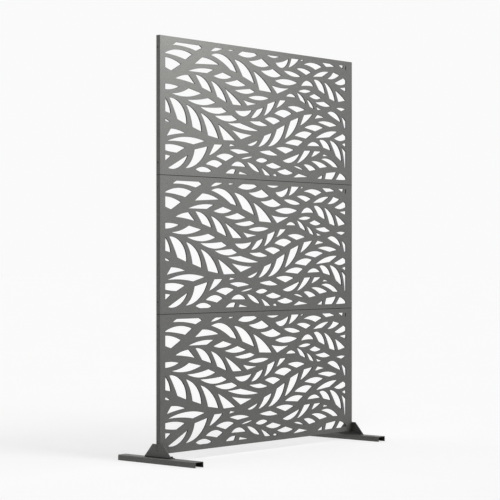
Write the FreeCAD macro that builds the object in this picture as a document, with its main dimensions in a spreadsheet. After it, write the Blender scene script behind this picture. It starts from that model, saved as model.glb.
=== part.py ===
"""Free-standing metal privacy screen.

Three equal folded sheet panels with cut leaf slots stand one above the other and are bolted together through
their folded edges. Two channel rails lie on the floor, front to back, and carry the panels on angle brackets.

Sizes are in millimetres. +X is to the right, +Y to the back and +Z up. The origin lies on the floor, at the
middle of the space that the two rails take up.
"""
import FreeCAD
import Part
import Sketcher
import math
import os
from FreeCAD import Placement, Rotation, Vector

# Driving sizes
SIZES = [
    # Panels: outer size of one folded panel, and the plain border round its slots
    ("panel_width", 1220),
    ("panel_height", 543),
    ("panel_depth", 20),
    ("sheet_thickness", 5),
    ("panel_outer_bend", 1.2),
    ("panel_inner_bend", 0.6),
    ("border_left", 30),
    ("border_right", 43),
    ("border_top", 20),
    ("border_bottom", 20),
    ("seam_bolt_inset", 85),
    ("link_hole_inset", 48),
    ("link_hole_diameter", 5),
    # Feet: the rails, how far their middles lie behind the panels' middle, and the brackets on them
    ("rail_length", 415),
    ("left_rail_shift", -9),
    ("right_rail_shift", 34),
    ("rail_width", 46),
    ("rail_height", 22),
    ("rail_wall", 2),
    ("rail_inner_bend", 1),
    ("rail_toe_room", 5),
    ("panel_rail_gap", 13.5),
    ("bracket_thickness", 3),
    ("bracket_inner_bend", 1),
    ("bracket_base_length", 143),
    ("bracket_top_length", 55),
    ("bracket_top_margin", 3.5),
    ("bracket_toe_margin", 3.5),
    ("panel_screw_room", 3),
    ("panel_screw_gap", 4),
    ("rail_bolt_side_room", 2.5),
    ("rail_bolt_end_room", 2.5),
    # Fasteners
    ("bolt_diameter", 6),
    ("bolt_hole_clearance", 0.6),
    ("bore_clearance", 0.2),
    ("hex_across_flats", 10),
    ("bolt_head_height", 4),
    ("nut_height", 5),
    ("washer_diameter", 12),
    ("washer_thickness", 1.6),
    ("thread_overhang", 2),
    ("screw_head_diameter", 12),
]
SEAM_BOLT_COUNT = 4
HEX_SIDES = 6
HEX_CHAMFER_ANGLE = 30

# Drawing window of the leaf slots, measured from the panel's lower left corner
DRAWN_LEFT = 30
DRAWN_RIGHT = 1177
DRAWN_BOTTOM = 20
DRAWN_TOP = 524


def lens(root, tip, above, below):
    """Slot between two points, with an arc that rises above and an arc that sinks below."""
    return [(root, tip, above), (tip, root, below)]


def leaf(root, tip, corner, smooth=0, back=0):
    """Slot with one smooth side from root to tip, and a corner on its other side.

    smooth and back say how far the smooth side and the side from the corner to the root swell outwards.
    """
    run_x = tip[0] - root[0]
    run_z = tip[1] - root[1]
    turn = run_x * (corner[1] - root[1]) - run_z * (corner[0] - root[0])
    outward = -1 if turn > 0 else 1
    return [(root, tip, outward * smooth), (tip, corner, 0), (corner, root, outward * back)]


# Leaf slots, spray by spray, drawn on a panel of the size above; the window cuts those that cross the border
LEFT_EDGE_SPRIGS = [
    leaf((73, 512), (243, 515), (207, 500), 25, -5),
    leaf((25, 476), (185, 484), (147, 460), 16, -3),
    leaf((-30, 452), (121, 440), (66, 410), 14, 5),
    leaf((344, 457), (200, 449), (243, 478), 0, 6),
    leaf((163, 417), (312, 434), (274, 417), 8),
    leaf((88, 382), (203, 367), (165, 401), -2, 4),
    lens((-30, 345), (110, 351), 9, 13),
    lens((5, 228), (58, 209), 2, 7),
    leaf((146, 170), (38, 153), (62, 183), -2, 4),
    leaf((43, 134), (260, 144), (192, 127), 16, -5),
    leaf((-20, 108), (144, 111), (98, 90), 12, 4),
    leaf((-10, 75), (63, 76), (35, 57), 4),
]
LONG_SPRAY = [
    leaf((67, 321), (240, 334), (166, 349), 13, -6),
    leaf((155, 303), (324, 303), (281, 318), 16, -4),
    leaf((232, 279), (393, 271), (362, 285), 17, -2),
    leaf((318, 249), (457, 242), (424, 257), 14),
    leaf((395, 224), (590, 204), (475, 229), 10, -1),
    leaf((418, 200), (549, 184), (477, 162), -3),
    leaf((-20, 325), (62, 242), (5, 253), 20),
    leaf((53, 304), (153, 204), (99, 222), 33, -2),
    leaf((148, 284), (241, 180), (186, 196), 25, -6),
    leaf((232, 257), (342, 158), (277, 168), 19, -5),
    leaf((336, 219), (444, 156), (371, 154), 3),
]
TOP_SPRAY = [
    lens((294, 508), (369, 525), 9, 4),
    lens((400, 520), (438, 526), 5, 3),
    lens((459, 509), (581, 517), 17, 11),
    lens((636, 526), (722, 524), 5, 10),
    leaf((525, 489), (657, 480), (610, 506), 14, -4),
    leaf((600, 456), (736, 445), (681, 469), 16, -4),
    lens((693, 420), (843, 423), 11, 14),
    leaf((669, 401), (788, 395), (708, 366), -5),
    leaf((296, 492), (452, 434), (412, 442), 33, -6),
    leaf((435, 487), (563, 397), (487, 422), 24, -3),
    leaf((552, 452), (675, 369), (592, 373), 10, -4),
]
MIDDLE_SPRAY = [
    leaf((310, 409), (424, 414), (369, 428), 10),
    leaf((377, 388), (510, 387), (457, 405), 10, -2),
    leaf((439, 361), (567, 364), (537, 374), 11),
    lens((523, 338), (657, 344), 8, 10),
    leaf((489, 327), (577, 315), (516, 304), -2),
    leaf((203, 405), (300, 341), (242, 357), 20, -1),
    leaf((294, 390), (391, 307), (332, 327), 17, -2),
    leaf((377, 366), (485, 302), (427, 302), 4),
]
CENTRE_SPRAY = [
    lens((439, 279), (548, 287), -3, 25),
    leaf((541, 255), (620, 303), (577, 290), 15),
    leaf((621, 268), (697, 334), (645, 319), 12, -3),
    leaf((701, 305), (767, 342), (725, 341), 4),
    lens((766, 360), (833, 360), 13, 0),
    leaf((529, 241), (648, 230), (600, 244), 10, -1),
    leaf((627, 256), (731, 253), (685, 235), 11),
    leaf((689, 282), (806, 289), (756, 268), 16),
    leaf((776, 316), (894, 311), (837, 297), 9),
]
RISING_SPRAY = [
    lens((517, 142), (588, 165), 0, 12),
    leaf((586, 138), (676, 201), (624, 185), 15, -2),
    leaf((648, 143), (761, 240), (704, 216), 27, -7),
    leaf((756, 178), (853, 277), (795, 257), 17),
    leaf((859, 241), (945, 296), (885, 288), 6),
    leaf((594, 118), (715, 109), (664, 126), 7, 1),
    leaf((699, 138), (819, 136), (764, 117), 8),
    leaf((758, 161), (882, 174), (847, 154), 12),
    leaf((822, 197), (943, 213), (902, 188), 13),
    leaf((888, 235), (1019, 242), (964, 223), 12),
    leaf((980, 264), (1115, 257), (1062, 248), 10),
    leaf((1024, 287), (958, 277), (977, 296), -1, 1),
]
LOWER_LEFT_SPRAY = [
    lens((46, 28), (160, 84), 0, 23),
    leaf((146, 32), (277, 124), (198, 107), 25, -10),
    leaf((283, 87), (367, 135), (315, 134), 6),
    leaf((443, 136), (404, 130), (412, 141)),
    lens((204, 29), (301, 26), 13, 10),
    leaf((264, 52), (368, 57), (334, 40), 16, -1),
    leaf((325, 86), (437, 91), (386, 69), 11),
    leaf((408, 116), (533, 110), (459, 102), 8),
]
LOWER_MIDDLE_SPRAY = [
    leaf((380, 17), (446, 37), (430, 10), 9),
    leaf((532, 18), (460, 17), (470, 31)),
    lens((417, 52), (509, 51), 19, 0),
    lens((516, 71), (597, 32), 10, 10),
    leaf((603, 54), (666, 21), (628, 22), 3),
    lens((478, 83), (554, 95), 3, 4),
    lens((569, 80), (649, 84), 10, 9),
    leaf((633, 64), (737, 61), (681, 76), 11),
    leaf((707, 41), (815, 38), (763, 53), 11),
    lens((681, 24), (708, 22), 6, 3),
    leaf((913, 25), (812, 19), (852, 37)),
]
LOWER_RIGHT_SPRAY = [
    lens((743, 87), (859, 122), 0, 22),
    leaf((836, 79), (932, 138), (887, 136), 10, -2),
    leaf((934, 110), (1003, 138), (955, 137), 3),
    leaf((1052, 121), (1013, 119), (1023, 128)),
    lens((818, 66), (883, 53), 6, 2),
    leaf((883, 76), (969, 58), (922, 51), 9),
    leaf((936, 93), (1048, 74), (993, 66), 9, -2),
    leaf((1004, 105), (1123, 73), (1085, 75), 17, -3),
    leaf((976, 20), (1015, 37), (1008, 14), 1),
    leaf((1022, 0), (1109, 53), (1037, 46), 14),
    leaf((1183, 22), (1104, 18), (1132, 49), 0, 6),
]
RIGHT_EDGE_SPRAY = [
    lens((907, 158), (997, 161), 17, 0),
    leaf((990, 186), (1070, 145), (1017, 156), 19, -1),
    leaf((1062, 189), (1146, 100), (1105, 124), 27, -1),
    leaf((1145, 165), (1235, 65), (1168, 76), 12, -4),
    leaf((965, 194), (1117, 230), (1066, 204), 12),
    leaf((1093, 199), (1190, 207), (1158, 223), 12),
    lens((1150, 177), (1225, 172), 8, 9),
    lens((1046, 308), (1142, 272), 23, 2),
    leaf((1146, 299), (1196, 242), (1165, 250), 10),
    leaf((1109, 332), (1175, 333), (1147, 322), 4),
]
UPPER_RIGHT_SPRAY = [
    lens((866, 411), (953, 415), 24, -3),
    leaf((952, 444), (1031, 387), (985, 404), 24, -1),
    leaf((1022, 442), (1102, 361), (1060, 371), 17, -3),
    leaf((1099, 413), (1174, 371), (1123, 361), 3),
    leaf((947, 458), (1058, 487), (1012, 463), 9),
    leaf((1046, 457), (1133, 479), (1087, 489), 8, -4),
    leaf((1096, 442), (1190, 453), (1161, 469), 11),
    leaf((1133, 423), (1187, 429), (1173, 411)),
    lens((848, 388), (936, 394), 7, 7),
    leaf((922, 372), (1004, 370), (959, 385), 9),
    leaf((963, 348), (1069, 339), (1028, 355), 9),
    leaf((966, 333), (1006, 320), (977, 317), -1),
    leaf((837, 381), (899, 336), (860, 350), 11),
    leaf((903, 358), (955, 318), (924, 327), 8),
]
TOP_RIGHT_SPRAY = [
    lens((696, 496), (784, 521), -5, 30),
    leaf((782, 483), (862, 533), (803, 530), 8, -2),
    lens((863, 519), (886, 526), 3, 3),
    lens((751, 466), (864, 452), 8, 11),
    leaf((836, 483), (935, 475), (901, 461), 8),
    leaf((884, 505), (1010, 505), (964, 488), 12, -4),
    leaf((1003, 528), (1098, 514), (1036, 508), 6),
    leaf((1119, 526), (1161, 530), (1154, 509)),
    lens((1172, 503), (1176, 528), 3, 3),
]
SPRAYS = [
    LEFT_EDGE_SPRIGS,
    LONG_SPRAY,
    TOP_SPRAY,
    MIDDLE_SPRAY,
    CENTRE_SPRAY,
    RISING_SPRAY,
    LOWER_LEFT_SPRAY,
    LOWER_MIDDLE_SPRAY,
    LOWER_RIGHT_SPRAY,
    RIGHT_EDGE_SPRAY,
    UPPER_RIGHT_SPRAY,
    TOP_RIGHT_SPRAY,
]

# Middle of the panels' depth, counted from the middle between the rails
PANEL_MIDDLE_Y = "-(sizes.left_rail_shift + sizes.right_rail_shift) / 2"

# Holes in the panels' folded edges lie in the middle of the flat strip behind the front bend
HOLE_LINE_Y = "(sizes.sheet_thickness + sizes.panel_inner_bend) / 2"
BOLT_HOLE_RADIUS = "(sizes.bolt_diameter + sizes.bolt_hole_clearance) / 2"
BORE_RADIUS = "(sizes.bolt_diameter + sizes.bore_clearance) / 2"
LOWEST_PANEL_Z = "sizes.rail_height + sizes.panel_rail_gap"

# Bracket screws, counted up from the lowest panel's bottom edge
LOW_SCREW_UP = "sizes.sheet_thickness + sizes.washer_diameter / 2 + sizes.panel_screw_room"
SCREW_SPACING = "max(sizes.washer_diameter; sizes.screw_head_diameter) + sizes.panel_screw_gap"
HIGH_SCREW_UP = f"{LOW_SCREW_UP} + {SCREW_SPACING}"
PANEL_SCREW_HEIGHTS = [LOW_SCREW_UP, HIGH_SCREW_UP]
SCREW_TO_BRACKET_TOP = "sizes.screw_head_diameter / 2 + sizes.bracket_top_margin"
BRACKET_TOP_Z = f"{LOWEST_PANEL_Z} + {HIGH_SCREW_UP} + {SCREW_TO_BRACKET_TOP}"

# Places across a foot, counted inwards from the panel's side
RAIL_BOLT_X = "(sizes.bracket_inner_bend + sizes.rail_bolt_side_room + sizes.washer_diameter / 2)"
BRACKET_TOE_X = f"({RAIL_BOLT_X} + sizes.washer_diameter / 2 + sizes.bracket_toe_margin)"
RAIL_INNER_X = f"({BRACKET_TOE_X} + sizes.rail_toe_room)"
RAIL_OUTER_X = f"({RAIL_INNER_X} - sizes.rail_width)"
RAIL_BOLT_Y = "(sizes.bracket_base_length / 2 - sizes.washer_diameter / 2 - sizes.rail_bolt_end_room)"

# Lengths of the fasteners: what they clamp, and then the nut and the thread's end
THREAD_END = "sizes.nut_height + sizes.thread_overhang"
SEAM_BOLT_LENGTH = f"2 * sizes.sheet_thickness + 2 * sizes.washer_thickness + {THREAD_END}"
RAIL_BOLT_LENGTH = f"sizes.bracket_thickness + sizes.rail_wall + 2 * sizes.washer_thickness + {THREAD_END}"
PANEL_SCREW_GRIP = "sizes.bracket_thickness + sizes.sheet_thickness + sizes.washer_thickness"
PANEL_SCREW_LENGTH = f"{PANEL_SCREW_GRIP} + {THREAD_END}"

LEFT = -1
RIGHT = 1
X_AXIS = Vector(1, 0, 0)
Y_AXIS = Vector(0, 1, 0)
Z_AXIS = Vector(0, 0, 1)
UPRIGHT = Rotation()
ALONG_X = Rotation(Y_AXIS, 90)
TOLERANCE = 0.001

doc = FreeCAD.newDocument("privacy_screen")


def make_sheet():
    """Spreadsheet with one named cell for each driving size."""
    sheet = doc.addObject("Spreadsheet::Sheet", "sizes")
    for row, (name, value) in enumerate(SIZES, start=1):
        sheet.set(f"A{row}", name)
        sheet.set(f"B{row}", str(value))
        sheet.setAlias(f"B{row}", name)
    doc.recompute()
    return sheet


sizes = make_sheet()


def bind(item, **formulas):
    """Bind properties of an object to formulas over the sheet."""
    for name, formula in formulas.items():
        item.setExpression(name, formula)


def move_to(item, x="0", y="0", z="0"):
    """Bind an object's place to formulas over the sheet."""
    item.setExpression("Placement.Base.x", x)
    item.setExpression("Placement.Base.y", y)
    item.setExpression("Placement.Base.z", z)


def sketch_on(body, name, role):
    """Empty sketch on one of a body's own origin planes."""
    sketch = body.newObject("Sketcher::SketchObject", name)
    for plane in body.Origin.OriginFeatures:
        if plane.Role == role:
            sketch.AttachmentSupport = [(plane, "")]
    sketch.MapMode = "FlatFace"
    return sketch


def pin_point(sketch, curve, end, across, up):
    """Hold one point of a sketch curve at two formulas, measured from the sketch's origin."""
    for kind, formula in (("DistanceX", across), ("DistanceY", up)):
        number = sketch.addConstraint(Sketcher.Constraint(kind, -1, 1, curve, end, 1.0))
        sketch.setExpression(f"Constraints[{number}]", formula)


def draw_outline(sketch, corners):
    """Closed outline of straight lines through corners, each given as two formulas."""
    first = sketch.GeometryCount
    count = len(corners)
    turns = [2 * math.pi * i / count for i in range(count)]
    rough = [Vector(math.cos(turn), math.sin(turn), 0) for turn in turns]
    for i in range(count):
        sketch.addGeometry(Part.LineSegment(rough[i], rough[(i + 1) % count]), False)
    for i in range(count):
        following = first + (i + 1) % count
        sketch.addConstraint(Sketcher.Constraint("Coincident", first + i, 2, following, 1))
    for i, (across, up) in enumerate(corners):
        pin_point(sketch, first + i, 1, across, up)


def draw_circle(sketch, across, up, radius):
    """Circle in a sketch, with its centre and radius given as formulas."""
    curve = sketch.addGeometry(Part.Circle(Vector(), Z_AXIS, 1.0), False)
    pin_point(sketch, curve, 3, across, up)
    number = sketch.addConstraint(Sketcher.Constraint("Radius", curve, 1.0))
    sketch.setExpression(f"Constraints[{number}]", radius)


def pad_both_ways(body, sketch, name, length):
    """Solid that reaches half its length to each side of its sketch."""
    pad = body.newObject("PartDesign::Pad", name)
    pad.Profile = sketch
    pad.SideType = "Symmetric"
    bind(pad, Length=length)
    doc.recompute()
    return pad


def cut_through(body, sketch, name):
    """Cut straight through the body, to both sides of a sketch."""
    before = body.Shape.Volume
    pocket = body.newObject("PartDesign::Pocket", name)
    pocket.Profile = sketch
    pocket.SideType = "Symmetric"
    pocket.Type = "ThroughAll"
    doc.recompute()
    if body.Shape.Volume > before - TOLERANCE:
        raise RuntimeError(f"{name} cuts nothing")
    return pocket


def round_edges(body, name, chosen, radius):
    """Round those edges of the body that the chosen test picks."""
    base = body.Tip
    names = [f"Edge{i}" for i, edge in enumerate(base.Shape.Edges, start=1) if chosen(edge)]
    fillet = body.newObject("PartDesign::Fillet", name)
    fillet.Base = (base, names)
    bind(fillet, Radius=radius)
    doc.recompute()
    return fillet


def near(value, target):
    """Whether two lengths are the same, within the tolerance."""
    return abs(value - target) < TOLERANCE


def lies_at(edge, axis, place):
    """Whether an edge lies in the plane where one coordinate has the given value."""
    return all(near(getattr(vertex.Point, axis), place) for vertex in edge.Vertexes)


def slot_prism(outline, stretch_x, stretch_z):
    """One leaf slot as a solid that reaches through the whole depth of the panel."""
    half_depth = sizes.panel_depth / 2

    def on_panel(x, z):
        across = sizes.border_left + (x - DRAWN_LEFT) * stretch_x - sizes.panel_width / 2
        up = sizes.border_bottom + (z - DRAWN_BOTTOM) * stretch_z
        return Vector(across, -half_depth, up)

    edges = []
    for (x0, z0), (x1, z1), rise in outline:
        start = on_panel(x0, z0)
        end = on_panel(x1, z1)
        if rise == 0:
            edges.append(Part.LineSegment(start, end).toShape())
            continue
        chord = math.hypot(x1 - x0, z1 - z0)
        crest_x = (x0 + x1) / 2 - rise * (z1 - z0) / chord
        crest_z = (z0 + z1) / 2 + rise * (x1 - x0) / chord
        edges.append(Part.Arc(start, on_panel(crest_x, crest_z), end).toShape())
    face = Part.Face(Part.Wire(edges))
    return face.extrude(Vector(0, sizes.panel_depth, 0))


def make_slots():
    """All leaf slots of one panel, stretched to its field and cut off at the field's edge."""
    stretch_x = (sizes.panel_width - sizes.border_left - sizes.border_right) / (DRAWN_RIGHT - DRAWN_LEFT)
    stretch_z = (sizes.panel_height - sizes.border_bottom - sizes.border_top) / (DRAWN_TOP - DRAWN_BOTTOM)
    leaves = doc.addObject("Part::Feature", "leaf_slots")
    leaves.Shape = Part.makeCompound(
        [slot_prism(outline, stretch_x, stretch_z) for spray in SPRAYS for outline in spray]
    )
    field = doc.addObject("Part::Box", "slot_field")
    bind(
        field,
        Length="sizes.panel_width - sizes.border_left - sizes.border_right",
        Width="sizes.panel_depth",
        Height="sizes.panel_height - sizes.border_bottom - sizes.border_top",
    )
    move_to(
        field,
        "sizes.border_left - sizes.panel_width / 2",
        "-sizes.panel_depth / 2",
        "sizes.border_bottom",
    )
    slots = doc.addObject("Part::Common", "field_slots")
    slots.Base = leaves
    slots.Tool = field
    doc.recompute()
    return slots


def make_tray():
    """Folded panel without its leaf slots: a front sheet with an edge turned back on all four sides."""
    body = doc.addObject("PartDesign::Body", "panel_tray")
    outline = sketch_on(body, "panel_outline", "XZ_Plane")
    half = "sizes.panel_width / 2"
    draw_outline(
        outline,
        [(f"-{half}", "0"), (half, "0"), (half, "sizes.panel_height"), (f"-{half}", "sizes.panel_height")],
    )
    pad_both_ways(body, outline, "panel_block", "sizes.panel_depth")
    front = -sizes.panel_depth / 2
    round_edges(body, "outer_bends", lambda edge: lies_at(edge, "y", front), "sizes.panel_outer_bend")

    hollow = sketch_on(body, "hollow_outline", "XZ_Plane")
    hollow.setExpression("AttachmentOffset.Base.z", "-sizes.panel_depth / 2")
    side = "sizes.panel_width / 2 - sizes.sheet_thickness"
    top = "sizes.panel_height - sizes.sheet_thickness"
    low = "sizes.sheet_thickness"
    draw_outline(hollow, [(f"-({side})", low), (side, low), (side, top), (f"-({side})", top)])
    block_volume = body.Shape.Volume
    pocket = body.newObject("PartDesign::Pocket", "hollow_back")
    pocket.Profile = hollow
    pocket.Reversed = True
    bind(pocket, Length="sizes.panel_depth - sizes.sheet_thickness")
    doc.recompute()
    if body.Shape.Volume > block_volume / 2:
        raise RuntimeError("the panel's back is not hollow")
    inside = front + sizes.sheet_thickness
    round_edges(body, "inner_bends", lambda edge: lies_at(edge, "y", inside), "sizes.panel_inner_bend")

    seam = sketch_on(body, "seam_holes", "XY_Plane")
    for i in range(SEAM_BOLT_COUNT):
        draw_circle(seam, seam_bolt_x(i), HOLE_LINE_Y, BOLT_HOLE_RADIUS)
    cut_through(body, seam, "seam_hole_cut")
    links = sketch_on(body, "link_holes", "YZ_Plane")
    for up in ("sizes.link_hole_inset", "sizes.panel_height - sizes.link_hole_inset"):
        draw_circle(links, HOLE_LINE_Y, up, "sizes.link_hole_diameter / 2")
    cut_through(body, links, "link_hole_cut")
    return body


def seam_bolt_x(number):
    """Place of one seam bolt, counted from the left, evenly spaced across the panel."""
    share = number / (SEAM_BOLT_COUNT - 1) - 0.5
    return f"{share} * (sizes.panel_width - 2 * sizes.seam_bolt_inset)"


def cut(name, base, tool):
    """Boolean cut of one object by another."""
    result = doc.addObject("Part::Cut", name)
    result.Base = base
    result.Tool = tool
    doc.recompute()
    return result


def compound(name, items):
    """Several objects kept together as separate solids."""
    result = doc.addObject("Part::Compound", name)
    result.Links = items
    doc.recompute()
    return result


def rod(name, radius, height):
    """Cylinder with its foot at the origin, along +Z."""
    cylinder = doc.addObject("Part::Cylinder", name)
    bind(cylinder, Radius=radius, Height=height)
    return cylinder


def make_foot_panel(panel):
    """Lowest panel: a slotted panel with the holes for the bracket screws in its two sides."""
    holes = []
    for number, up in enumerate(PANEL_SCREW_HEIGHTS):
        hole = rod(f"panel_screw_hole_{number}", BOLT_HOLE_RADIUS, "sizes.panel_width")
        hole.Placement = Placement(Vector(), ALONG_X)
        move_to(hole, "-sizes.panel_width / 2", HOLE_LINE_Y, up)
        holes.append(hole)
    return cut("foot_panel", panel, compound("panel_screw_holes", holes))


def make_rail(name, middle):
    """Channel rail, open below; the panel's side stands at x = 0, y = 0 and the panel lies to +X."""
    body = doc.addObject("PartDesign::Body", name)
    profile = sketch_on(body, f"{name}_profile", "XZ_Plane")
    profile.setExpression("AttachmentOffset.Base.z", f"-({middle})")
    outer = RAIL_OUTER_X
    inner = RAIL_INNER_X
    wall = "sizes.rail_wall"
    top = "sizes.rail_height"
    draw_outline(
        profile,
        [
            (outer, "0"),
            (f"{outer} + {wall}", "0"),
            (f"{outer} + {wall}", f"{top} - {wall}"),
            (f"{inner} - {wall}", f"{top} - {wall}"),
            (f"{inner} - {wall}", "0"),
            (inner, "0"),
            (inner, top),
            (outer, top),
        ],
    )
    pad_both_ways(body, profile, f"{name}_channel", "sizes.rail_length")
    ridge = sizes.rail_height
    ceiling = sizes.rail_height - sizes.rail_wall
    long_edge = sizes.rail_length
    round_edges(
        body,
        f"{name}_outer_bends",
        lambda edge: near(edge.Length, long_edge) and lies_at(edge, "z", ridge),
        "sizes.rail_inner_bend + sizes.rail_wall",
    )
    round_edges(
        body,
        f"{name}_inner_bends",
        lambda edge: near(edge.Length, long_edge) and lies_at(edge, "z", ceiling),
        "sizes.rail_inner_bend",
    )
    holes = sketch_on(body, f"{name}_holes", "XY_Plane")
    for sign in ("-", ""):
        draw_circle(holes, RAIL_BOLT_X, sign + RAIL_BOLT_Y, BOLT_HOLE_RADIUS)
    cut_through(body, holes, f"{name}_hole_cut")
    return body


def make_angle():
    """Angle of both brackets: a trapezoid upright on the panel's side, and a foot turned in on the rail."""
    body = doc.addObject("PartDesign::Body", "bracket_angle")
    profile = sketch_on(body, "bracket_profile", "XZ_Plane")
    outer = "-sizes.bracket_thickness"
    toe = BRACKET_TOE_X
    seat = "sizes.rail_height"
    step = "sizes.rail_height + sizes.bracket_thickness"
    top = BRACKET_TOP_Z
    draw_outline(profile, [(outer, seat), (toe, seat), (toe, step), ("0", step), ("0", top), (outer, top)])
    pad_both_ways(body, profile, "bracket_blank", "sizes.bracket_base_length")
    base = sizes.rail_height
    plate = sizes.bracket_thickness
    round_edges(
        body,
        "bracket_outer_bend",
        lambda edge: lies_at(edge, "z", base) and lies_at(edge, "x", -plate),
        "sizes.bracket_inner_bend + sizes.bracket_thickness",
    )
    round_edges(
        body,
        "bracket_inner_bend",
        lambda edge: lies_at(edge, "z", base + plate) and lies_at(edge, "x", 0),
        "sizes.bracket_inner_bend",
    )
    sides = sketch_on(body, "bracket_sides", "YZ_Plane")
    for sign in ("-", ""):
        wide = f"{sign}sizes.bracket_base_length / 2"
        narrow = f"{sign}sizes.bracket_top_length / 2"
        draw_outline(sides, [(wide, step), (wide, top), (narrow, top)])
    cut_through(body, sides, "bracket_side_cut")
    holes = sketch_on(body, "bracket_foot_holes", "XY_Plane")
    for sign in ("-", ""):
        draw_circle(holes, RAIL_BOLT_X, sign + RAIL_BOLT_Y, BOLT_HOLE_RADIUS)
    cut_through(body, holes, "bracket_foot_hole_cut")
    return body


def make_bracket(name, angle, hole_line):
    """Bracket with its countersunk screw seats, which lie behind the panel's middle line on either side."""
    seats = []
    for number, up in enumerate(PANEL_SCREW_HEIGHTS):
        cone = doc.addObject("Part::Cone", f"{name}_seat_{number}")
        bind(
            cone,
            Radius1="(sizes.screw_head_diameter + sizes.bolt_hole_clearance) / 2",
            Radius2=BOLT_HOLE_RADIUS,
            Height="sizes.bracket_thickness",
        )
        cone.Placement = Placement(Vector(), ALONG_X)
        move_to(cone, "-sizes.bracket_thickness", hole_line, f"{LOWEST_PANEL_Z} + {up}")
        seats.append(cone)
    return cut(name, angle, compound(f"{name}_seats", seats))


def hex_block(name, height):
    """Hexagon block with its upper corners turned off, as on a bolt head or a nut."""
    prism = doc.addObject("Part::Prism", f"{name}_hexagon")
    prism.Polygon = HEX_SIDES
    bind(prism, Circumradius=f"sizes.hex_across_flats / (2 * cos(180 deg / {HEX_SIDES}))", Height=height)
    cone = doc.addObject("Part::Cone", f"{name}_turned_top")
    spread = f"({height}) / tan({HEX_CHAMFER_ANGLE} deg)"
    bind(
        cone,
        Radius1=f"sizes.hex_across_flats / 2 + {spread}",
        Radius2="sizes.hex_across_flats / 2",
        Height=height,
    )
    block = doc.addObject("Part::Common", f"{name}_block")
    block.Base = prism
    block.Tool = cone
    doc.recompute()
    return block


def make_bolt(name, length):
    """Hexagon bolt: the head stands on z = 0 and the plain shank hangs below it."""
    shank = rod(f"{name}_shank", "sizes.bolt_diameter / 2", length)
    move_to(shank, z=f"-({length})")
    bolt = doc.addObject("Part::Fuse", name)
    bolt.Base = hex_block(name, "sizes.bolt_head_height")
    bolt.Tool = shank
    doc.recompute()
    return bolt


def make_screw(name, length):
    """Countersunk screw along +X: its head fills the seat in the bracket, flush with the outer face."""
    head = doc.addObject("Part::Cone", f"{name}_head")
    bind(
        head,
        Radius1="sizes.screw_head_diameter / 2",
        Radius2="sizes.bolt_diameter / 2",
        Height="sizes.bracket_thickness",
    )
    screw = doc.addObject("Part::Fuse", name)
    screw.Base = head
    screw.Tool = rod(f"{name}_shank", "sizes.bolt_diameter / 2", length)
    doc.recompute()
    return screw


def make_nut():
    """Hexagon nut standing on z = 0."""
    bore = rod("nut_bore", BORE_RADIUS, "sizes.nut_height")
    return cut("nut", hex_block("nut_blank", "sizes.nut_height"), bore)


def make_washer():
    """Plain washer lying on z = 0."""
    disc = rod("washer_disc", "sizes.washer_diameter / 2", "sizes.washer_thickness")
    bore = rod("washer_bore", BORE_RADIUS, "sizes.washer_thickness")
    return cut("washer", disc, bore)


def place_copy(label, source, turn=UPRIGHT, x="0", z="0"):
    """Node that is a placed copy of a finished piece, at the middle of the panels' depth."""
    body = doc.addObject("PartDesign::Body", label)
    copy = body.newObject("PartDesign::FeatureBase", f"{label}_copy")
    copy.BaseFeature = source
    body.Tip = copy
    body.Placement = Placement(Vector(), turn)
    move_to(body, x, PANEL_MIDDLE_Y, z)
    return body


def place_group(label, source, places):
    """Node that holds several placed copies of one fastener.

    Each place is a turn and three formulas, of which y counts from the middle of the panels' depth.
    """
    links = []
    for number, (turn, x, y, z) in enumerate(places):
        link = doc.addObject("App::Link", f"{label}_{number}")
        link.LinkedObject = source
        link.Placement = Placement(Vector(), turn)
        move_to(link, x, f"{PANEL_MIDDLE_Y} + {y}", z)
        links.append(link)
    return compound(label, links)


def seam_groups(prefix, panels_below):
    """Bolts, washers and nuts through the folded edges where two panels meet."""
    seam_z = f"{LOWEST_PANEL_Z} + {panels_below} * sizes.panel_height"
    upper_face = f"{seam_z} + sizes.sheet_thickness"
    lower_face = f"{seam_z} - sizes.sheet_thickness"
    flipped = Rotation(X_AXIS, 180)
    bolts = []
    washers = []
    nuts = []
    for number in range(SEAM_BOLT_COUNT):
        x = seam_bolt_x(number)
        bolts.append((UPRIGHT, x, HOLE_LINE_Y, f"{upper_face} + sizes.washer_thickness"))
        washers.append((UPRIGHT, x, HOLE_LINE_Y, upper_face))
        washers.append((flipped, x, HOLE_LINE_Y, lower_face))
        nuts.append((flipped, x, HOLE_LINE_Y, f"{lower_face} - sizes.washer_thickness"))
    return [
        place_group(f"{prefix}_bolts", seam_bolt, bolts),
        place_group(f"{prefix}_washers", washer, washers),
        place_group(f"{prefix}_nuts", nut, nuts),
    ]


def foot_x(side, inward):
    """World x of a point that lies a given distance inside the panel's left or right side."""
    return f"{side} * (sizes.panel_width / 2 - ({inward}))"


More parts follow.
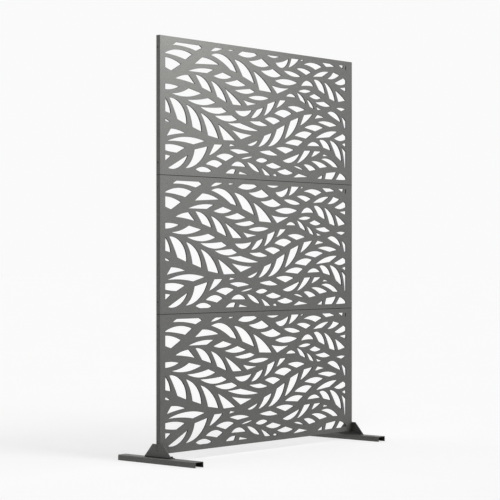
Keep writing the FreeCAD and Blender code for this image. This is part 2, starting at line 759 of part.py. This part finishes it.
def foot_nodes(prefix, side, rail, bracket):
    """One foot: its rail, its bracket and their fasteners."""
    turn = UPRIGHT if side == LEFT else Rotation(Z_AXIS, 180)
    inwards = turn.multiply(ALONG_X)
    flipped = turn.multiply(Rotation(X_AXIS, 180))
    hole_y = HOLE_LINE_Y

    screws = []
    screw_washers = []
    screw_nuts = []
    for up in PANEL_SCREW_HEIGHTS:
        z = f"{LOWEST_PANEL_Z} + {up}"
        inner_face = "sizes.sheet_thickness"
        screws.append((inwards, foot_x(side, "-sizes.bracket_thickness"), hole_y, z))
        screw_washers.append((inwards, foot_x(side, inner_face), hole_y, z))
        screw_nuts.append((inwards, foot_x(side, f"{inner_face} + sizes.washer_thickness"), hole_y, z))

    bolts = []
    bolt_washers = []
    bolt_nuts = []
    upper_face = "sizes.rail_height + sizes.bracket_thickness"
    lower_face = "sizes.rail_height - sizes.rail_wall"
    x = foot_x(side, RAIL_BOLT_X)
    for sign in ("-", ""):
        y = f"({sign}{RAIL_BOLT_Y})"
        bolts.append((turn, x, y, f"{upper_face} + sizes.washer_thickness"))
        bolt_washers.append((turn, x, y, upper_face))
        bolt_washers.append((flipped, x, y, lower_face))
        bolt_nuts.append((flipped, x, y, f"{lower_face} - sizes.washer_thickness"))

    side_x = foot_x(side, "0")
    return [
        place_copy(f"{prefix}_foot_rail", rail, turn, side_x),
        place_copy(f"{prefix}_foot_bracket", bracket, turn, side_x),
        place_group(f"{prefix}_panel_screws", panel_screw, screws),
        place_group(f"{prefix}_panel_washers", washer, screw_washers),
        place_group(f"{prefix}_panel_nuts", nut, screw_nuts),
        place_group(f"{prefix}_rail_bolts", rail_bolt, bolts),
        place_group(f"{prefix}_rail_washers", washer, bolt_washers),
        place_group(f"{prefix}_rail_nuts", nut, bolt_nuts),
    ]


def write_nodes(nodes):
    """Check every object of the document, then write each node's solids to a file of its own."""
    doc.recompute()
    for item in doc.Objects:
        if "Invalid" in item.State or "Error" in item.State:
            raise RuntimeError(f"{item.Label} failed: {item.State}")
    for node in nodes:
        if node.Shape.isNull() or not node.Shape.isValid():
            raise RuntimeError(f"{node.Label} has no valid shape")
    os.makedirs("parts", exist_ok=True)
    for node in nodes:
        node.Shape.exportStep(f"parts/{node.Label}.step")
        print(f"{node.Label}: {len(node.Shape.Solids)} solids, {node.Shape.Volume / 1000:.1f} cm3")


panel = cut("slotted_panel", make_tray(), make_slots())
foot_panel = make_foot_panel(panel)
left_rail = make_rail("left_rail", "sizes.left_rail_shift")
right_rail = make_rail("right_rail", "-sizes.right_rail_shift")
angle = make_angle()
left_bracket = make_bracket("left_bracket", angle, HOLE_LINE_Y)
right_bracket = make_bracket("right_bracket", angle, f"-{HOLE_LINE_Y}")
washer = make_washer()
nut = make_nut()
seam_bolt = make_bolt("seam_bolt", SEAM_BOLT_LENGTH)
rail_bolt = make_bolt("rail_bolt", RAIL_BOLT_LENGTH)
panel_screw = make_screw("panel_screw", PANEL_SCREW_LENGTH)

all_nodes = [
    place_copy("bottom_panel", foot_panel, z=LOWEST_PANEL_Z),
    place_copy("middle_panel", panel, z=f"{LOWEST_PANEL_Z} + sizes.panel_height"),
    place_copy("top_panel", panel, z=f"{LOWEST_PANEL_Z} + 2 * sizes.panel_height"),
]
all_nodes += seam_groups("lower_seam", 1)
all_nodes += seam_groups("upper_seam", 2)
all_nodes += foot_nodes("left", LEFT, left_rail, left_bracket)
all_nodes += foot_nodes("right", RIGHT, right_rail, right_bracket)
write_nodes(all_nodes)
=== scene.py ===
"""Looks for a metal privacy screen: three folded panels with leaf slots, bolted in a stack on two feet."""

import math

import bpy
from mathutils import Matrix, Vector


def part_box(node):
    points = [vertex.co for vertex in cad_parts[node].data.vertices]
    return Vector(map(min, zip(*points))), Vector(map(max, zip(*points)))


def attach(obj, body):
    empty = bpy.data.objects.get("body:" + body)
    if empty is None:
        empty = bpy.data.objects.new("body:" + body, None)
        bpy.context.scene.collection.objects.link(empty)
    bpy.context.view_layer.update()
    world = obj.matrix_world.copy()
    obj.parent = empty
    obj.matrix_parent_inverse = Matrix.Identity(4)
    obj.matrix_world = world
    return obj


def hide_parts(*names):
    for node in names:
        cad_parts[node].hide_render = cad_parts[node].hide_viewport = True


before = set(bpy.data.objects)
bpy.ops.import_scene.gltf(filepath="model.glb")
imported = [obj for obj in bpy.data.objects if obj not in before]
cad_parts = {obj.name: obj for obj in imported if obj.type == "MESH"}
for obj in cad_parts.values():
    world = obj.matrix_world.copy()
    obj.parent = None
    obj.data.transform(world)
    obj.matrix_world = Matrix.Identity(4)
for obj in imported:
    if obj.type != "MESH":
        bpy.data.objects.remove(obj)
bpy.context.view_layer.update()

# Lengths are in metres; as the slotted front is seen, +X is to the right, +Y to the back and +Z up

# Camera: level, at the front left; its focal length and horizon are in pixels, its sensor in millimetres
PICTURE_SIDE = 500
FOCAL_PIXELS = 1706
HORIZON_BELOW_MIDDLE = 10.8
SENSOR_WIDTH = 36
CAMERA_PLACE = (-5.3786, -4.6251, 0.787)
CAMERA_HEADING = math.radians(49.0346)

# Surroundings: a white backdrop to look at, and a soft sky for the metal, darkest overhead and front left
WHITE = (1, 1, 1, 1)
BACKDROP_BRIGHTNESS = 0.957
SKY_BRIGHTNESS = 1.82
SKY_RIGHT_GAIN = 0.77
SKY_BACK_GAIN = 0.343
SKY_SLANT_GAIN = 1.525
GROUND_BRIGHTNESS = 0.04
HORIZON_BLUR = 0.02

# Key lamp: a soft oblong in front of the screen, high on the left
KEY_PLACE = (-0.52, -0.88, 2.36)
KEY_AIM = (-0.5, 0, 1.3)
KEY_WIDTH = 0.38
KEY_HEIGHT = 0.7
KEY_SPREAD = math.radians(150)
KEY_POWER = 14.8

# Noise: its scale is the number of grains in one metre, and nearly all its values lie in the span
NOISE_SPAN = (0.3, 0.7)

# Floor: its own glow dips near the screen, where the key lamp adds light, so that it looks evenly white
FLOOR_HALF = 60
FLOOR_COLOUR = (0.45, 0.45, 0.45)
FLOOR_CLOUDS = {"scale": 1.5, "detail": 2, "roughness": 0.5}
FLOOR_CLOUD_TONES = (0.985, 1.015)
FLOOR_GLOW = 0.685
FLOOR_DIP = 0.105
FLOOR_DIP_PLACE = (-0.74, 0, 0)
FLOOR_DIP_REACH = 2.7

# Powder coat on panels and feet; tones are factors of its colour
COAT_COLOUR = (0.170, 0.170, 0.1615)
COAT_ROUGHNESS = (0.50, 0.62)
COAT_CLOUDS = {"scale": 2.5, "detail": 3, "roughness": 0.55}
COAT_CLOUD_TONES = (0.96, 1.04)
COAT_MOTTLE = {"scale": 230, "detail": 1, "roughness": 0.5}
COAT_MOTTLE_TONES = (0.84, 1.16)
COAT_GRAIN = {"scale": 1400, "detail": 2, "roughness": 0.5}
COAT_GRAIN_TONES = (0.94, 1.06)
COAT_GRAIN_BUMP = {"strength": 0.20, "depth": 0.00008}
COAT_PEEL = {"scale": 420, "detail": 2, "roughness": 0.5}
COAT_PEEL_BUMP = {"strength": 0.25, "depth": 0.00025}

# Coat darker along sharp edges and in inside corners: the edges' width, how far they darken, and their tone
DARK_EDGE_RADIUS = 0.0012
DARK_EDGE_SHARE = 0.3
DARK_EDGE_TONE = 0.6

# Sharp edges: the rays that find them, and the cosines of a turn that counts in full and of one that doesn't
EDGE_SAMPLES = 4
EDGE_COSINES = (0.75, 0.99)

# Painted shade on the coat in corners and between pieces, where other metal stands close by
PAINTED_SHADE_REACH = 0.1
PAINTED_SHADE_FALL = 2.0
PAINTED_SHADE_TONE = 0.1
PAINTED_SHADE_SAMPLES = 8

# Painted shade on the cut edges in the slots and in the grooves between panels, where shade falls; the
# margin leaves the outer sides plain
SHEET_THICKNESS = 0.005
OUTER_MARGIN = 0.004
CUT_EDGE_PAINTED_SHADE = 0.12
CUT_EDGE_FACING = (0.3, 0.7)
GROOVE_PAINTED_SHADE = 0.12
GROOVE_HALF = 0.0012
STEP_BLUR = 0.0004

# Dark coated steel of bolts, washers and nuts, rubbed on its corners
STEEL_COLOUR = (0.045, 0.045, 0.047)
STEEL_WORN_COLOUR = (0.20, 0.20, 0.205)
STEEL_METALLIC = 0.75
STEEL_ROUGHNESS = (0.34, 0.5)
STEEL_PATCHES = {"scale": 180, "detail": 4, "roughness": 0.6}
STEEL_PATCH_TONES = (0.8, 1.25)
STEEL_GRAIN = {"scale": 3000, "detail": 2, "roughness": 0.5}
STEEL_GRAIN_BUMP = {"strength": 0.15, "depth": 0.00004}
RUBBED_RADIUS = 0.0006
RUBBED_SHARES = (0.1, 0.8)
RUBBED_PATCHES = (0.4, 0.65)

# Threaded bolts and screws
HEX_FLATS = 0.010
HEX_CORNER_RADIUS = HEX_FLATS / math.sqrt(3)
HEX_CHAMFER = math.radians(30)
HEAD_HEIGHT = 0.004
SCREW_HEAD_RADIUS = 0.006
SCREW_HEAD_DEPTH = 0.003
SCREW_HEAD_BEVEL = 0.0002
SOCKET_FLATS = 0.004
SOCKET_DEPTH = 0.0022
THREAD_RADIUS = 0.003
THREAD_DEPTH = 0.00055
THREAD_PITCH = 0.001
THREAD_LENGTH = 0.012
RING_POINTS = 36
RINGS_IN_PITCH = 8
SMOOTH_UNDER = math.radians(40)
BOLTS_IN_SEAM = 4
BOLTS_IN_FOOT = 2
SCREWS_IN_FOOT = 2

PANELS = ("bottom_panel", "middle_panel", "top_panel")
FEET = ("left_foot_rail", "right_foot_rail", "left_foot_bracket", "right_foot_bracket")


def new_material(name):
    """A material with a bare shader; gives the material, its node tree and the shader."""
    material = bpy.data.materials.new(name)
    material.use_nodes = True
    tree = material.node_tree
    tree.nodes.clear()
    output = tree.nodes.new("ShaderNodeOutputMaterial")
    shader = tree.nodes.new("ShaderNodeBsdfPrincipled")
    tree.links.new(shader.outputs["BSDF"], output.inputs["Surface"])
    return material, tree, shader


def add_place(tree):
    """The place of a surface point in metres."""
    return tree.nodes.new("ShaderNodeTexCoord").outputs["Object"]


def add_normal(tree):
    """The direction that a surface faces."""
    return tree.nodes.new("ShaderNodeNewGeometry").outputs["Normal"]


def add_axes(tree, vector):
    """The three parts of a vector."""
    parts = tree.nodes.new("ShaderNodeSeparateXYZ")
    tree.links.new(vector, parts.inputs["Vector"])
    return parts.outputs["X"], parts.outputs["Y"], parts.outputs["Z"]


def add_noise(tree, place, scale, detail, roughness):
    """Cloudy values by place."""
    noise = tree.nodes.new("ShaderNodeTexNoise")
    noise.inputs["Scale"].default_value = scale
    noise.inputs["Detail"].default_value = detail
    noise.inputs["Roughness"].default_value = roughness
    tree.links.new(place, noise.inputs["Vector"])
    return noise.outputs["Fac"]


def add_range(tree, source, result, span=NOISE_SPAN):
    """The source, stretched from the span's ends to the result's ends, and held there beyond them."""
    stretch = tree.nodes.new("ShaderNodeMapRange")
    stretch.inputs["From Min"].default_value = span[0]
    stretch.inputs["From Max"].default_value = span[1]
    stretch.inputs["To Min"].default_value = result[0]
    stretch.inputs["To Max"].default_value = result[1]
    tree.links.new(source, stretch.inputs["Value"])
    return stretch.outputs["Result"]


def add_step(tree, source, start, before, after):
    """One value before the start and another after it, with a short blend between them."""
    return add_range(tree, source, (before, after), (start, start + STEP_BLUR))


def add_math(tree, operation, first, second=None):
    """One operation on a value; the second may be a value, a plain number or nothing."""
    step = tree.nodes.new("ShaderNodeMath")
    step.operation = operation
    tree.links.new(first, step.inputs[0])
    if isinstance(second, (int, float)):
        step.inputs[1].default_value = second
    elif second is not None:
        tree.links.new(second, step.inputs[1])
    return step.outputs["Value"]


def add_product(tree, values):
    """All the values multiplied."""
    product = values[0]
    for value in values[1:]:
        product = add_math(tree, "MULTIPLY", product, value)
    return product


def add_edge_mask(tree, radius):
    """1 on outside and inside corners within the radius, 0 on flat stretches."""
    bevel = tree.nodes.new("ShaderNodeBevel")
    bevel.samples = EDGE_SAMPLES
    bevel.inputs["Radius"].default_value = radius
    along = tree.nodes.new("ShaderNodeVectorMath")
    along.operation = "DOT_PRODUCT"
    tree.links.new(bevel.outputs["Normal"], along.inputs[0])
    tree.links.new(add_normal(tree), along.inputs[1])
    return add_range(tree, along.outputs["Value"], (1, 0), EDGE_COSINES)


def add_bumps(tree, shader, layers):
    """Bump layers, coarsest first: pairs of a height and its strength and depth."""
    normal = None
    for height, relief in layers:
        bump = tree.nodes.new("ShaderNodeBump")
        bump.inputs["Strength"].default_value = relief["strength"]
        bump.inputs["Distance"].default_value = relief["depth"]
        tree.links.new(height, bump.inputs["Height"])
        if normal is not None:
            tree.links.new(normal, bump.inputs["Normal"])
        normal = bump.outputs["Normal"]
    tree.links.new(normal, shader.inputs["Normal"])


def add_shaded(tree, colour, shade):
    """The colour times a shade."""
    shaded = tree.nodes.new("ShaderNodeVectorMath")
    shaded.operation = "SCALE"
    shaded.inputs[0].default_value = colour
    tree.links.new(shade, shaded.inputs["Scale"])
    return shaded.outputs["Vector"]


def add_colour_blend(tree, colour, mask, other_colour):
    """The colour, going over to another colour where the mask is 1."""
    mix = tree.nodes.new("ShaderNodeMix")
    mix.data_type = "RGBA"
    tree.links.new(mask, mix.inputs["Factor"])
    tree.links.new(colour, mix.inputs["A"])
    mix.inputs["B"].default_value = (*other_colour, 1)
    return mix.outputs["Result"]


def add_painted_crevice_shade(tree):
    """Painted shade: 1 in the open, going down to the shade tone where other metal stands close by."""
    nearby = tree.nodes.new("ShaderNodeAmbientOcclusion")
    nearby.samples = PAINTED_SHADE_SAMPLES
    nearby.inputs["Distance"].default_value = PAINTED_SHADE_REACH
    openness = add_math(tree, "POWER", nearby.outputs["AO"], PAINTED_SHADE_FALL)
    return add_range(tree, openness, (PAINTED_SHADE_TONE, 1), (0, 1))


def add_painted_slot_and_groove_shade(tree, place):
    """Painted shade: 1 on plain sheet; less on the slots' cut edges and in the grooves between panels, where
    shade falls.
    """
    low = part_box(PANELS[0])[0]
    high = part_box(PANELS[-1])[1]
    x, y, z = add_axes(tree, place)
    facing_back = add_axes(tree, add_normal(tree))[1]
    cut = [
        add_range(tree, add_math(tree, "ABSOLUTE", facing_back), (1, 0), CUT_EDGE_FACING),
        add_step(tree, x, low[0] + OUTER_MARGIN, 0, 1),
        add_step(tree, x, high[0] - OUTER_MARGIN - STEP_BLUR, 1, 0),
        add_step(tree, y, low[1] + SHEET_THICKNESS + STEP_BLUR, 1, 0),
        add_step(tree, z, low[2] + OUTER_MARGIN, 0, 1),
        add_step(tree, z, high[2] - OUTER_MARGIN - STEP_BLUR, 1, 0),
    ]
    shade = add_range(tree, add_product(tree, cut), (1, CUT_EDGE_PAINTED_SHADE), (0, 1))
    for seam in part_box(PANELS[1]):
        distance = add_math(tree, "ABSOLUTE", add_math(tree, "SUBTRACT", z, seam[2]))
        groove = add_step(tree, distance, GROOVE_HALF, GROOVE_PAINTED_SHADE, 1)
        shade = add_math(tree, "MINIMUM", shade, groove)
    return shade


def powder_coat(name, on_panels):
    """Matt powder coat: a fine orange peel, faint clouds and mottling, painted shade in crevices, and darker
    sharp edges.
    """
    material, tree, shader = new_material(name)
    place = add_place(tree)
    grain = add_noise(tree, place, **COAT_GRAIN)
    peel = add_noise(tree, place, **COAT_PEEL)
    shades = [
        add_range(tree, add_noise(tree, place, **COAT_CLOUDS), COAT_CLOUD_TONES),
        add_range(tree, add_noise(tree, place, **COAT_MOTTLE), COAT_MOTTLE_TONES),
        add_range(tree, grain, COAT_GRAIN_TONES),
        # painted shade where other metal stands close by
        add_painted_crevice_shade(tree),
    ]
    # on panels, painted shade on the slots' cut edges and in the grooves between panels
    if on_panels:
        shades.append(add_painted_slot_and_groove_shade(tree, place))
    colour = add_shaded(tree, COAT_COLOUR, add_product(tree, shades))
    # the coat is darker along sharp edges and in inside corners
    edge = add_math(tree, "MULTIPLY", add_edge_mask(tree, DARK_EDGE_RADIUS), DARK_EDGE_SHARE)
    dark_edge_colour = tuple(channel * DARK_EDGE_TONE for channel in COAT_COLOUR)
    tree.links.new(add_colour_blend(tree, colour, edge, dark_edge_colour), shader.inputs["Base Color"])
    tree.links.new(add_range(tree, peel, COAT_ROUGHNESS), shader.inputs["Roughness"])
    add_bumps(tree, shader, [(peel, COAT_PEEL_BUMP), (grain, COAT_GRAIN_BUMP)])
    return material


def coated_steel(name):
    """Dark coated steel with rubbed corners."""
    material, tree, shader = new_material(name)
    place = add_place(tree)
    patches = add_noise(tree, place, **STEEL_PATCHES)
    grain = add_noise(tree, place, **STEEL_GRAIN)
    colour = add_shaded(tree, STEEL_COLOUR, add_range(tree, patches, STEEL_PATCH_TONES))
    share = add_range(tree, patches, RUBBED_SHARES, RUBBED_PATCHES)
    rubbed = add_math(tree, "MULTIPLY", add_edge_mask(tree, RUBBED_RADIUS), share)
    tree.links.new(add_colour_blend(tree, colour, rubbed, STEEL_WORN_COLOUR), shader.inputs["Base Color"])
    tree.links.new(add_range(tree, patches, STEEL_ROUGHNESS), shader.inputs["Roughness"])
    shader.inputs["Metallic"].default_value = STEEL_METALLIC
    add_bumps(tree, shader, [(grain, STEEL_GRAIN_BUMP)])
    return material


def add_floor_glow(tree, place):
    """The floor's own glow, with a round dip that falls off as a lamp's light does."""
    distance = tree.nodes.new("ShaderNodeVectorMath")
    distance.operation = "DISTANCE"
    distance.inputs[1].default_value = FLOOR_DIP_PLACE
    tree.links.new(place, distance.inputs[0])
    reach = add_math(tree, "DIVIDE", distance.outputs["Value"], FLOOR_DIP_REACH)
    widening = add_math(tree, "ADD", add_math(tree, "MULTIPLY", reach, reach), 1)
    falling = add_math(tree, "POWER", widening, -2)
    return add_math(tree, "ADD", add_math(tree, "MULTIPLY", falling, -FLOOR_DIP), FLOOR_GLOW)


def pale_floor(name):
    """A white lit floor, matt, with a trace of cloud in its tone."""
    material, tree, shader = new_material(name)
    place = add_place(tree)
    clouds = add_range(tree, add_noise(tree, place, **FLOOR_CLOUDS), FLOOR_CLOUD_TONES)
    tree.links.new(add_shaded(tree, FLOOR_COLOUR, clouds), shader.inputs["Base Color"])
    shader.inputs["Roughness"].default_value = 1
    shader.inputs["Specular IOR Level"].default_value = 0
    shader.inputs["Emission Color"].default_value = WHITE
    tree.links.new(add_floor_glow(tree, place), shader.inputs["Emission Strength"])
    return material


def dress_nodes(finishes):
    """Gives each solid its finish."""
    for name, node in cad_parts.items():
        if name in PANELS:
            finish = finishes["panel_coat"]
        elif name in FEET or name.endswith("_panel_screws"):
            finish = finishes["foot_coat"]
        else:
            finish = finishes["fastener"]
        for holder in node.material_slots:
            holder.material = finish


def hexagon(flats):
    """The radius of a hexagon by angle, with a corner at angle 0."""
    sixth = math.tau / 6
    return lambda angle: flats / 2 / math.cos(angle % sixth - sixth / 2)


def ring(height, radius):
    """Points round the axis; the height and the radius are functions of the angle."""
    points = []
    for number in range(RING_POINTS):
        angle = math.tau * number / RING_POINTS
        reach = radius(angle)
        points.append((reach * math.cos(angle), reach * math.sin(angle), height(angle)))
    return points


def circle(height, radius):
    """A level round ring."""
    return ring(lambda angle: height, lambda angle: radius)


def thread_radius(to_tip, run_in, angle):
    """The thread's radius at a height over the tip: a V groove with a run-in and a chamfered tip."""
    turn = (to_tip / THREAD_PITCH + angle / math.tau) % 1
    groove = THREAD_DEPTH * run_in * abs(2 * turn - 1)
    chamfer = THREAD_RADIUS - THREAD_DEPTH + to_tip
    return min(THREAD_RADIUS - groove, chamfer)


def thread_rings(length):
    """Rings of a thread that winds down to the tip of a shank of this length."""
    count = round(THREAD_LENGTH / THREAD_PITCH * RINGS_IN_PITCH)
    rings = []
    for number in range(count + 1):
        to_tip = THREAD_LENGTH * (1 - number / count)
        run_in = min(1, number / RINGS_IN_PITCH)
        rings.append(ring(lambda angle: to_tip - length, lambda angle: thread_radius(to_tip, run_in, angle)))
    return rings


def bolt_rings(length):
    """Hexagon bolt: the head stands on height 0 and the shank hangs below it."""
    side = hexagon(HEX_FLATS)
    fall = math.tan(HEX_CHAMFER)
    head = [
        circle(HEAD_HEIGHT, HEX_FLATS / 2),
        ring(lambda angle: HEAD_HEIGHT - (side(angle) - HEX_FLATS / 2) * fall, side),
        ring(lambda angle: 0, side),
        circle(0, THREAD_RADIUS),
    ]
    return head + thread_rings(length)


def screw_rings(length):
    """Countersunk screw with a hexagon socket: the head's face lies at height 0."""
    socket = hexagon(SOCKET_FLATS)
    head = [
        ring(lambda angle: -SOCKET_DEPTH, socket),
        ring(lambda angle: 0, socket),
        circle(0, SCREW_HEAD_RADIUS - SCREW_HEAD_BEVEL),
        circle(-SCREW_HEAD_BEVEL, SCREW_HEAD_RADIUS - SCREW_HEAD_BEVEL),
        circle(-SCREW_HEAD_DEPTH, THREAD_RADIUS),
    ]
    return head + thread_rings(length)


def add_fasteners(node, name, rings, places, turn, finish):
    """One piece of equal fasteners at several places, in place of a node's solids."""
    points = []
    faces = []
    for place in places:
        first = len(points)
        for points_round in rings:
            points += [Vector(place) + turn @ Vector(point) for point in points_round]
        for level in range(len(rings) - 1):
            upper = first + level * RING_POINTS
            lower = upper + RING_POINTS
            for number in range(RING_POINTS):
                after = (number + 1) % RING_POINTS
                faces.append((upper + number, lower + number, lower + after, upper + after))
        last = first + (len(rings) - 1) * RING_POINTS
        faces.append(tuple(range(first, first + RING_POINTS)))
        faces.append(tuple(reversed(range(last, last + RING_POINTS))))
    mesh = bpy.data.meshes.new(name)
    mesh.from_pydata(points, [], faces)
    mesh.shade_smooth()
    mesh.set_sharp_from_angle(angle=SMOOTH_UNDER)
    mesh.materials.append(finish)
    piece = bpy.data.objects.new(name, mesh)
    bpy.context.scene.collection.objects.link(piece)
    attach(piece, "root")
    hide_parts(node)


def even_steps(low, high, margin, count):
    """Even steps from one margin to the other."""
    step = (high - low - 2 * margin) / (count - 1)
    return [low + margin + step * number for number in range(count)]


def add_bolts(node, name, row_axis, margin, count, finish):
    """A row of upright bolts along X (0) or Y (1), its end bolts' middles a margin inside the node's box."""
    low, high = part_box(node)
    seat = high[2] - HEAD_HEIGHT
    places = []
    for step in even_steps(low[row_axis], high[row_axis], margin, count):
        place = [(low[0] + high[0]) / 2, (low[1] + high[1]) / 2, seat]
        place[row_axis] = step
        places.append(place)
    add_fasteners(node, name, bolt_rings(seat - low[2]), places, Matrix.Identity(3), finish)


def add_screws(node, name, outward, finish):
    """Screws one above the other, with their heads at the node's outer side: outward is -1 or 1 along X."""
    low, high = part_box(node)
    face = low[0] if outward < 0 else high[0]
    middle = (low[1] + high[1]) / 2
    heights = even_steps(low[2], high[2], SCREW_HEAD_RADIUS, SCREWS_IN_FOOT)
    places = [(face, middle, height) for height in heights]
    turn = Vector((outward, 0, 0)).to_track_quat("Z", "Y").to_matrix()
    add_fasteners(node, name, screw_rings(high[0] - low[0]), places, turn, finish)


def add_all_fasteners(finishes):
    """Threaded bolts and screws where the solids have plain ones."""
    steel = finishes["fastener"]
    for seam in ("lower_seam", "upper_seam"):
        add_bolts(f"{seam}_bolts", f"{seam}_threaded_bolts", 0, HEX_CORNER_RADIUS, BOLTS_IN_SEAM, steel)
    for side, outward in (("left", -1), ("right", 1)):
        add_bolts(f"{side}_rail_bolts", f"{side}_threaded_bolts", 1, HEX_FLATS / 2, BOLTS_IN_FOOT, steel)
        add_screws(f"{side}_panel_screws", f"{side}_socket_screws", outward, finishes["foot_coat"])


def add_floor():
    """The floor that the feet stand on; it neither lights nor shades the metal."""
    corners = ((-1, -1), (1, -1), (1, 1), (-1, 1))
    points = [(x * FLOOR_HALF, y * FLOOR_HALF, 0) for x, y in corners]
    mesh = bpy.data.meshes.new("floor")
    mesh.from_pydata(points, [], [(0, 1, 2, 3)])
    mesh.materials.append(pale_floor("floor_finish"))
    floor = bpy.data.objects.new("floor", mesh)
    floor.visible_diffuse = False
    floor.visible_glossy = False
    floor.visible_shadow = False
    bpy.context.scene.collection.objects.link(floor)


def add_camera():
    """The camera, with the horizon a little below the picture's middle."""
    data = bpy.data.cameras.new("camera")
    data.sensor_width = SENSOR_WIDTH
    data.lens = FOCAL_PIXELS / PICTURE_SIDE * SENSOR_WIDTH
    data.shift_y = HORIZON_BELOW_MIDDLE / PICTURE_SIDE
    camera = bpy.data.objects.new("camera", data)
    camera.location = CAMERA_PLACE
    camera.rotation_euler = (math.pi / 2, 0, -CAMERA_HEADING)
    bpy.context.scene.collection.objects.link(camera)
    bpy.context.scene.camera = camera


def add_key_lamp():
    """The soft lamp in front, high on the left."""
    data = bpy.data.lights.new("key", "AREA")
    data.shape = "RECTANGLE"
    data.size = KEY_WIDTH
    data.size_y = KEY_HEIGHT
    data.spread = KEY_SPREAD
    data.energy = KEY_POWER
    lamp = bpy.data.objects.new("key", data)
    lamp.location = KEY_PLACE
    lamp.rotation_euler = (Vector(KEY_AIM) - Vector(KEY_PLACE)).to_track_quat("-Z", "Y").to_euler()
    bpy.context.scene.collection.objects.link(lamp)


def add_sky(tree):
    """Brightness of the surroundings by direction: it fades upwards from the horizon and is dark below."""
    direction = tree.nodes.new("ShaderNodeTexCoord").outputs["Generated"]
    to_right, to_back, upward = add_axes(tree, direction)
    slant = add_math(tree, "MULTIPLY", to_right, to_back)
    sky = add_math(tree, "ADD", add_math(tree, "MULTIPLY", to_right, SKY_RIGHT_GAIN), SKY_BRIGHTNESS)
    for part, gain in ((to_back, SKY_BACK_GAIN), (slant, -SKY_SLANT_GAIN)):
        sky = add_math(tree, "ADD", sky, add_math(tree, "MULTIPLY", part, gain))
    fade = add_range(tree, upward, (1, 0), (0, 1))
    above = add_range(tree, upward, (0, 1), (-HORIZON_BLUR, HORIZON_BLUR))
    return add_math(tree, "MAXIMUM", add_product(tree, [sky, fade, above]), GROUND_BRIGHTNESS)


def add_surroundings():
    """The sky that lights the metal, and the white backdrop that the eye sees."""
    world = bpy.data.worlds.new("studio")
    bpy.context.scene.world = world
    world.use_nodes = True
    tree = world.node_tree
    background = tree.nodes["Background"]
    choice = tree.nodes.new("ShaderNodeMix")
    choice.data_type = "FLOAT"
    seen = tree.nodes.new("ShaderNodeLightPath").outputs["Is Camera Ray"]
    tree.links.new(seen, choice.inputs["Factor"])
    tree.links.new(add_sky(tree), choice.inputs["A"])
    choice.inputs["B"].default_value = BACKDROP_BRIGHTNESS
    tree.links.new(choice.outputs["Result"], background.inputs["Strength"])
    background.inputs["Color"].default_value = WHITE


finishes = {
    "panel_coat": powder_coat("panel_coat_finish", on_panels=True),
    "foot_coat": powder_coat("foot_coat_finish", on_panels=False),
    "fastener": coated_steel("fastener_finish"),
}
dress_nodes(finishes)
add_all_fasteners(finishes)
add_floor()
add_camera()
add_key_lamp()
add_surroundings()
bpy.context.scene.view_settings.view_transform = "Standard"
